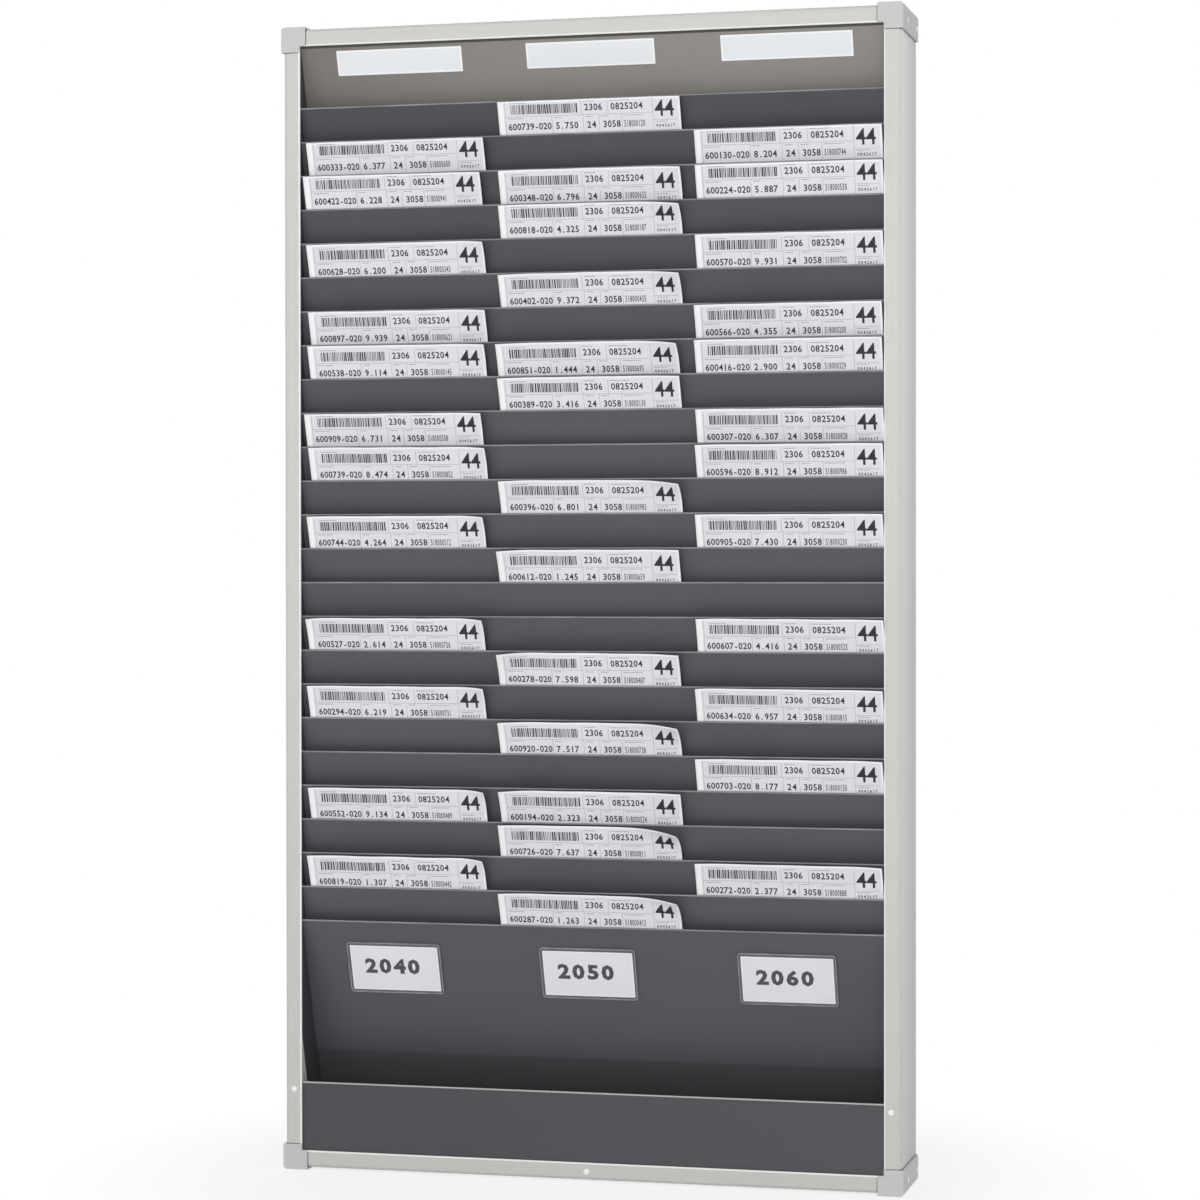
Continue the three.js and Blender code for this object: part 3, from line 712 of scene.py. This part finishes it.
# Printed layout of a chart, in millimetres from its upper left corner
CHART_NUMBERS = [  # number, x, baseline, height, pitch, squeeze, ink
    ("2306", 100, 16, 7.8, 5.3, 0.92, BLACK),
    ("0825204", 130.5, 16, 7.8, 5.3, 0.92, BLACK),
    ("600{:03d}-020", 10.8, 35.7, 7.8, 5.05, 0.92, BLACK),
    ("{:d}.{:03d}", 65.8, 35.7, 7.8, 5.3, 0.92, BLACK),
    ("24", 101.8, 35.7, 7.8, 5.6, 0.92, BLACK),
    ("3058", 120.4, 35.7, 7.8, 5.2, 0.92, BLACK),
    ("518{:06d}", 144.8, 35.7, 7.6, 2.7, 0.45, GREY),
    ("0042617", 181, 37.2, 3.6, 3.2, 0.92, BLACK),
]
LARGE_NUMBER = ("44", 180.6, 25.2, 18.6, 11.2, 0.9, BLACK)
CHART_UPRIGHT_RULES = [  # x, top, bottom
    (8.2, 3.4, 44), (96.6, 4, 20.2), (127.2, 4, 20.2), (178.2, 3.4, 44), (62, 20.2, 44),
    (98, 20.2, 44), (116.3, 20.2, 44), (142.4, 20.2, 44),
]
CHART_LEVEL_RULES = [(8.2, 178.2, 20.2), (178.2, 206, 28.8)]  # left, right, down
CHART_CAPTIONS = [  # x, down, length
    (14, 4.9, 20), (99.5, 4.9, 13), (130, 4.9, 22), (11, 22.2, 18), (65, 22.2, 8), (101, 22.2, 9),
    (119, 22.2, 9), (145, 22.2, 22), (181, 30.6, 14),
]
BAR_CODE = {"left": 15, "right": 93, "top": 7.2, "bottom": 17.8}
BAR_WIDTHS_MM = (0.6, 0.6, 1.1, 1.6)
BAR_GAPS_MM = (0.6, 0.9, 1.3)
RULE_WIDTH_MM = 0.35
CAPTION_HEIGHT_MM = 0.7
CAPTION_STROKES_MM = (1.5, 4)
CAPTION_GAP_MM = 0.5
PRINT_SEED = 1000

# The form on the part of a sheet that shows only when it is lifted out
FORM_ROWS_MM = [44 + 16 * row for row in range(16)]
FORM_RULES_MM = (8.2, 62, 142.4, 206)
FORM_CAPTIONS_MM = (11, 65, 145)
FORM_CAPTION_LENGTHS_MM = (12, 28)
FORM_CAPTION_BELOW_MM = 2
FORM_STEP_MM = 12


def form_rows(ink_on, dice):
    """Empty rows of a form."""
    left, right = FORM_RULES_MM[0], FORM_RULES_MM[-1]
    for down in FORM_ROWS_MM:
        ink_on.block(left, down, right, down + RULE_WIDTH_MM, LINE, FORM_STEP_MM)
    for x in FORM_RULES_MM:
        ink_on.block(x, FORM_ROWS_MM[0], x + RULE_WIDTH_MM, FORM_ROWS_MM[-1], LINE, FORM_STEP_MM)
    for down in FORM_ROWS_MM[:-1]:
        top = down + FORM_CAPTION_BELOW_MM
        for x in FORM_CAPTIONS_MM:
            end = x + dice.uniform(*FORM_CAPTION_LENGTHS_MM)
            ink_on.block(x, top, end, top + CAPTION_HEIGHT_MM, LINE, FORM_STEP_MM)


def chart_print(name, place, curl, column, pocket, lifts):
    """Bars, numbers, rules and caption strokes on one sheet; the numbers are made up."""
    dice = sheet_dice(column, pocket, PRINT_SEED)
    half = CHART_WIDTH_MM / 2

    def surface(x, down):
        return place(*paper_point(x - half, down + curl.seat, INK_LIFT_MM, curl))

    ink_on = Print(surface)
    bar = BAR_CODE["left"]
    while bar < BAR_CODE["right"] - 1:
        width = dice.choice(BAR_WIDTHS_MM)
        ink_on.block(bar, BAR_CODE["top"], bar + width, BAR_CODE["bottom"], BARS)
        bar += width + dice.choice(BAR_GAPS_MM)
    for text, *layout in CHART_NUMBERS:
        first = dice.randrange(1, 10) if text.startswith("{:d}") else dice.randrange(100, 1000)
        ink_on.number(digits, text.format(first, dice.randrange(100, 1000)), *layout)
    for x, top, bottom in CHART_UPRIGHT_RULES:
        ink_on.block(x, top, x + RULE_WIDTH_MM, bottom, LINE)
    for x0, x1, down in CHART_LEVEL_RULES:
        ink_on.block(x0, down, x1, down + RULE_WIDTH_MM, LINE)
    for x, down, length in CHART_CAPTIONS:
        end = x + length
        while x < end:
            stroke = min(dice.uniform(*CAPTION_STROKES_MM), end - x)
            ink_on.block(x, down, x + stroke, down + CAPTION_HEIGHT_MM, LINE)
            x += stroke + CAPTION_GAP_MM
    if lifts:
        form_rows(ink_on, dice)
    ink_on.number(large_digits, *LARGE_NUMBER)
    return ink_on.piece(name)


def make_charts():
    for column, shifts in CHART_SHIFTS_MM.items():
        solid = [name for name in frame["nodes"] if name.startswith(f"chart_{column}_")]
        middle_mm = node_middle_mm(solid[0])
        for pocket, shift in shifts.items():
            name = f"chart_{column}_{pocket:02d}"
            fixed = name in solid
            curl = curl_of(column, pocket, fixed)
            origin = lip(pocket)

            def place(x, back, up, origin=origin, x_mm=middle_mm + shift):
                return on_slant(origin, x_mm + x, back, up)

            sheet = chart_piece(f"{name}_sheet", place, curl)
            printed = chart_print(f"{name}_print", place, curl, column, pocket, fixed)
            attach(sheet, name if fixed else "rack")
            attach(printed, name if fixed else "rack")
            if fixed:
                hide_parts(name)


def rounded(width, height, corner, steps=5):
    """Outline of a rounded rectangle about the origin, as (x, up) points."""
    outline = []
    for quarter, (side_x, side_up) in enumerate(((1, 1), (-1, 1), (-1, -1), (1, -1))):
        for step in range(steps + 1):
            angle = (quarter + step / steps) * math.pi / 2
            x = side_x * (width / 2 - corner) + corner * math.cos(angle)
            up = side_up * (height / 2 - corner) + corner * math.sin(angle)
            outline.append((x, up))
    return outline


def slant_ring(origin, centre, outline, depth):
    """An outline about a centre given as (x, up), laid parallel to the slant."""
    middle_x, middle_up = centre
    return [on_slant(origin, middle_x + x, depth, middle_up + up) for x, up in outline]


# A card's softened edges and corners, and how far its field lies inside and below its border
CARD_SOFT_MM = 0.15
CARD_CORNER_MM = 0.8
CARD_LEAST_CORNER_MM = 0.2
CARD_CORNER_STEPS = 3
FIELD_STEP_MM = 0.1
FIELD_DEPTH_MM = 0.08


def card(name, origin, centre, size, field):
    """A thin card with softened edges, a white border and a field that lies slightly lower."""
    soft, border, front, rear = CARD_SOFT_MM, size["border"], size["front"], size["rear"]

    def ring(inset, depth):
        corner = max(CARD_LEAST_CORNER_MM, CARD_CORNER_MM - inset)
        outline = rounded(size["width"] - 2 * inset, size["height"] - 2 * inset, corner, CARD_CORNER_STEPS)
        return slant_ring(origin, centre, outline, depth)

    rings = [ring(soft, rear), ring(0, rear - soft), ring(0, front + soft), ring(soft, front)]
    rings += [ring(border, front), ring(border + FIELD_STEP_MM, front + FIELD_DEPTH_MM)]
    return loft(name, rings, [paper_white, field], [0, 0, 0, 0, 0, 0, 1])


# Labels; front and rear are measured square to the slant, and below and above along it
HEADER_LABEL_MM = {"width": 148.5, "height": 28.8, "border": 2.0, "below": 7.2, "front": -0.8, "rear": -0.3}
SLEEVE_MM = {
    "width": 111, "height": 62, "corner": 4, "rim": 0.75, "film": 0.5,
    "below": 26.5, "front": -2.5, "rear": -0.3,
}
INSERT_MM = {"width": 104.6, "height": 55, "border": 1.4, "front": -1.6, "rear": -1.2, "above": 3.1}
INSERT_INK_DEPTH_MM = 0.02
INSERT_TEXTS = {"left": "2040", "centre": "2050", "right": "2060"}
INSERT_LAYOUT = (15, 34.5, 19, 17, 1.15, BLACK)  # x, baseline, height, pitch, squeeze, ink


def make_header_labels():
    size = HEADER_LABEL_MM
    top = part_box("header_panel")[1].z - SHEET * SLANT_BACK.z
    origin = Vector((0, FRONT + LIP_SETBACK, top))
    for column in COLUMNS:
        node = f"header_label_{column}"
        centre = (node_middle_mm(node), -size["below"] - size["height"] / 2)
        piece = card(f"{node}_card", origin, centre, size, label_field)
        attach(piece, "rack")
        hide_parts(node)


def make_sleeve(column, origin):
    """Two clear films, welded to each other along a thin rim."""
    size = SLEEVE_MM
    centre = (node_middle_mm(f"label_pocket_{column}"), -size["below"] - size["height"] / 2)
    width, height, corner, rim = (size[name] for name in ("width", "height", "corner", "rim"))
    outer = rounded(width, height, corner)
    inner = rounded(width - 2 * rim, height - 2 * rim, corner - rim)
    front, rear, thickness = size["front"], size["rear"], size["film"]
    pieces = []
    for side, depths in (("front", (front + thickness, front)), ("rear", (rear, rear - thickness))):
        rings = [slant_ring(origin, centre, inner, depth) for depth in depths]
        pieces.append(loft(f"sleeve_{column}_{side}", rings, [sleeve_film]))
    edges = ((outer, rear), (outer, front), (inner, front), (inner, rear))
    rings = [slant_ring(origin, centre, outline, depth) for outline, depth in edges]
    rim_piece = hoop(f"sleeve_{column}_rim", rings, [sleeve_rim])
    for piece in (*pieces, rim_piece):
        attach(piece, "rack")
    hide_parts(f"label_pocket_{column}")


def make_insert(column, origin):
    """A numbered card in a sleeve."""
    size = INSERT_MM
    node = f"label_insert_{column}"
    middle_x = node_middle_mm(node)
    bottom = -SLEEVE_MM["below"] - SLEEVE_MM["height"] + size["above"]
    left, top = middle_x - size["width"] / 2, bottom + size["height"]
    piece = card(f"{node}_card", origin, (middle_x, bottom + size["height"] / 2), size, insert_field)

    def surface(x, down):
        return on_slant(origin, left + x, size["front"] + INSERT_INK_DEPTH_MM, top - down)

    ink_on = Print(surface)
    ink_on.number(bold_digits, INSERT_TEXTS[column], *INSERT_LAYOUT)
    printed = ink_on.piece(f"{node}_print")
    for part in (piece, printed):
        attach(part, node)
    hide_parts(node)


def make_name_labels():
    origin = lip(POCKETS)
    for column in COLUMNS:
        make_sleeve(column, origin)
        make_insert(column, origin)


# Outline of a side profile's inner flange where it shows in front of a side plate: (behind the front, height)
FLANGE_MM = [(4, 155), (20.3, 100.7), (24.5, 86), (7, 86), (7, 101), (4, 101)]
FLANGE_DEPTHS_MM = (0.05, 0.25)


def make_flanges():
    """The bare inner flanges of the side profiles, below the slanted lower edges of the side plates."""
    for side, inwards in (("left", 1), ("right", -1)):
        plate = max(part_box(f"side_plate_{side}"), key=lambda corner: inwards * corner.x)
        outline = FLANGE_MM[::-1] if side == "left" else FLANGE_MM
        rings = []
        for depth in FLANGE_DEPTHS_MM:
            x = plate.x + inwards * depth * MM
            rings.append([Vector((x, FRONT + back * MM, up * MM)) for back, up in outline])
        piece = loft(f"profile_flange_{side}", rings, [upright_coat])
        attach(piece, "rack")


# Profile of a blind rivet's head, with the dimple of the pulled pin: (share of the radius, height in mm)
RIVET_PROFILE = [
    (1, 0), (1, 0.25), (0.94, 0.55), (0.78, 0.85), (0.5, 1.05), (0.34, 1.1), (0.28, 0.95), (0.24, 0.7),
]
RIVET_STEPS = 20

# Kinds of rivets: the radius in millimetres, and the share of the profile's height
FRONT_RIVET = (3.3, 1.0)
CAP_RIVET = (3.2, 0.8)
HANGER_RIVET = (3, 0.5)
REAR_RIVET = (3.2, 0.7)

FRONT_RIVETS_MM = {"left": (-346, 92), "right": (345, 92), "bottom": (0, 12)}  # x, height
CAP_RIVET_HEIGHTS_MM = {"top": 1292, "bottom": 13.5}
CAP_RIVET_DEPTHS_MM = {"front": 33, "rear": 93}
HANGER_RIVET_INSET_MM = 11
HANGER_RIVET_HEIGHT_MM = 1295
REAR_RIVET_X_MM = {"left": -346, "right": 346}
REAR_RIVET_HEIGHTS_MM = [154 + 200 * number for number in range(6)]


def rivet(name, place, outwards, kind):
    """A rivet's head that stands on `place`."""
    radius_mm, flat = kind
    turn = Vector((0, 0, 1)).rotation_difference(Vector(outwards)).to_matrix()
    rings = []
    for share, height in RIVET_PROFILE:
        radius = radius_mm * share * MM
        ring = []
        for step in range(RIVET_STEPS):
            angle = step / RIVET_STEPS * 2 * math.pi
            local = Vector((radius * math.cos(angle), radius * math.sin(angle), height * flat * MM))
            ring.append(Vector(place) + turn @ local)
        rings.append(ring)
    piece = loft(name, rings, [rivet_metal], smooth=True)
    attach(piece, "rack")


def make_rivets():
    for name, (x_mm, z_mm) in FRONT_RIVETS_MM.items():
        rivet(f"rivet_front_{name}", (x_mm * MM, FRONT, z_mm * MM), (0, -1, 0), FRONT_RIVET)
    for side, x in (("left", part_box("cap_top_left")[0].x), ("right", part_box("cap_top_right")[1].x)):
        outwards = (math.copysign(1, x), 0, 0)
        for level, z_mm in CAP_RIVET_HEIGHTS_MM.items():
            for row, depth_mm in CAP_RIVET_DEPTHS_MM.items():
                place = (x, FRONT + depth_mm * MM, z_mm * MM)
                rivet(f"rivet_cap_{level}_{side}_{row}", place, outwards, CAP_RIVET)
    for side in ("left", "right"):
        plate_low, plate_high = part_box(f"hanger_{side}")
        inset = HANGER_RIVET_INSET_MM * MM
        for row, x in (("a", plate_low.x + inset), ("b", plate_high.x - inset)):
            place = (x, plate_high.y, HANGER_RIVET_HEIGHT_MM * MM)
            rivet(f"rivet_hanger_{side}_{row}", place, (0, 1, 0), HANGER_RIVET)
        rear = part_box(f"{side}_profile")[1].y
        for number, z_mm in enumerate(REAR_RIVET_HEIGHTS_MM, 1):
            place = (REAR_RIVET_X_MM[side] * MM, rear, z_mm * MM)
            rivet(f"rivet_rear_{side}_{number}", place, (0, 1, 0), REAR_RIVET)


FLOOR_HALF = 12.0
FLOOR_GAP = 0.2 * MM
FLOOR_TONES = ((244, 244, 244), (249, 249, 249))
FLOOR_GLOW = 0.78  # share of plain white in the floor close to the rack, which keeps a faint shadow
FLOOR_NEAR, FLOOR_FAR = 0.4, 0.62  # the floor fades to plain white between these distances


def seen_directly(tree):
    """1 for camera, glossy and transmission rays, which see the plain white surroundings."""
    light_path = tree.nodes.new("ShaderNodeLightPath")
    seen = light_path.outputs["Is Camera Ray"]
    for ray in ("Is Glossy Ray", "Is Transmission Ray"):
        node = tree.nodes.new("ShaderNodeMath")
        node.operation = "MAXIMUM"
        tree.links.new(light_path.outputs[ray], node.inputs[0])
        tree.links.new(seen, node.inputs[1])
        seen = node.outputs["Value"]
    return seen


def make_floor():
    surface = Surface("floor_white")
    dark, light = FLOOR_TONES
    dust = surface.noise(FLOOR_DUST, detail=3)
    colour = surface.mix(dust, srgb(*dark), srgb(*light))
    surface.finish(colour, surface.spread(dust, 0.8, 0.95), Specular_IOR_Level=0)
    flat = surface.add("ShaderNodeVectorMath", operation="MULTIPLY")
    flat.inputs[1].default_value = (1, 1, 0)
    surface.feed(flat.inputs[0], surface.place)
    distance = surface.add("ShaderNodeVectorMath", operation="LENGTH")
    surface.feed(distance.inputs[0], flat.outputs["Vector"])
    fade = surface.remap(distance.outputs["Value"], FLOOR_NEAR, FLOOR_FAR, FLOOR_GLOW, 1)
    glow = surface.add("ShaderNodeEmission")
    blend = surface.add("ShaderNodeMixShader")
    surface.feed(blend.inputs[0], surface.math("MULTIPLY", fade, seen_directly(surface.tree)))
    surface.feed(blend.inputs[1], surface.shader.outputs["BSDF"])
    surface.feed(blend.inputs[2], glow.outputs["Emission"])
    surface.feed(surface.tree.nodes["Material Output"].inputs["Surface"], blend.outputs["Shader"])
    far = FLOOR_HALF
    corners = [(-far, -far, 0), (far, -far, 0), (far, far, 0), (-far, far, 0)]
    floor = add_piece("floor", corners, [[0, 1, 2, 3]], [surface.material])
    floor.location.z = cad_box[0].z - FLOOR_GAP


AMBIENT = 0.42


def make_world():
    """White surroundings, which light the rack with less than their own brightness."""
    world = bpy.data.worlds.new("studio")
    bpy.context.scene.world = world
    world.use_nodes = True
    tree = world.node_tree
    background = tree.nodes["Background"]
    background.inputs["Color"].default_value = (1, 1, 1, 1)
    strength = tree.nodes.new("ShaderNodeMapRange")
    strength.inputs["To Min"].default_value = AMBIENT
    strength.inputs["To Max"].default_value = 1
    tree.links.new(seen_directly(tree), strength.inputs["Value"])
    tree.links.new(strength.outputs["Result"], background.inputs["Strength"])


# Soft boxes: place, size of the square, power
LAMPS = {
    "key": ((0.5, -3.7, 1.4), 2.4, 58),
    "left": ((-2.4, -2.8, 1.6), 2.0, 12),
    "right": ((3.2, -0.9, 2.2), 2.0, 16),
    "rear": ((-1.5, 3.0, 2.2), 2.0, 34),
}


def make_lamps():
    aim = (cad_box[0] + cad_box[1]) / 2
    for name, (place, size, power) in LAMPS.items():
        data = bpy.data.lights.new(name, "AREA")
        data.size = size
        data.energy = power
        lamp = bpy.data.objects.new(name, data)
        lamp.location = place
        lamp.rotation_euler = (aim - Vector(place)).to_track_quat("-Z", "Y").to_euler()
        bpy.context.scene.collection.objects.link(lamp)


# The photograph's camera: level, at about half the rack's height and to the right of it
CAMERA_PLACE = (0.9221, -3.6298, 0.693)
CAMERA_YAW, CAMERA_PITCH, CAMERA_ROLL = (math.radians(angle) for angle in (14.196, -0.61, -0.057))
CAMERA_LENS, CAMERA_SENSOR = 99.02, 36


def make_camera():
    data = bpy.data.cameras.new("camera")
    data.sensor_width = CAMERA_SENSOR
    data.lens = CAMERA_LENS
    camera = bpy.data.objects.new("camera", data)
    level = Matrix.Rotation(CAMERA_YAW, 4, "Z") @ Matrix.Rotation(math.pi / 2 + CAMERA_PITCH, 4, "X")
    camera.matrix_world = Matrix.Translation(CAMERA_PLACE) @ level @ Matrix.Rotation(CAMERA_ROLL, 4, "Z")
    bpy.context.scene.collection.objects.link(camera)
    bpy.context.scene.camera = camera


coat_nodes()
make_charts()
make_header_labels()
make_name_labels()
make_flanges()
make_rivets()
make_floor()
make_world()
make_lamps()
make_camera()
bpy.context.scene.view_settings.view_transform = "Standard"
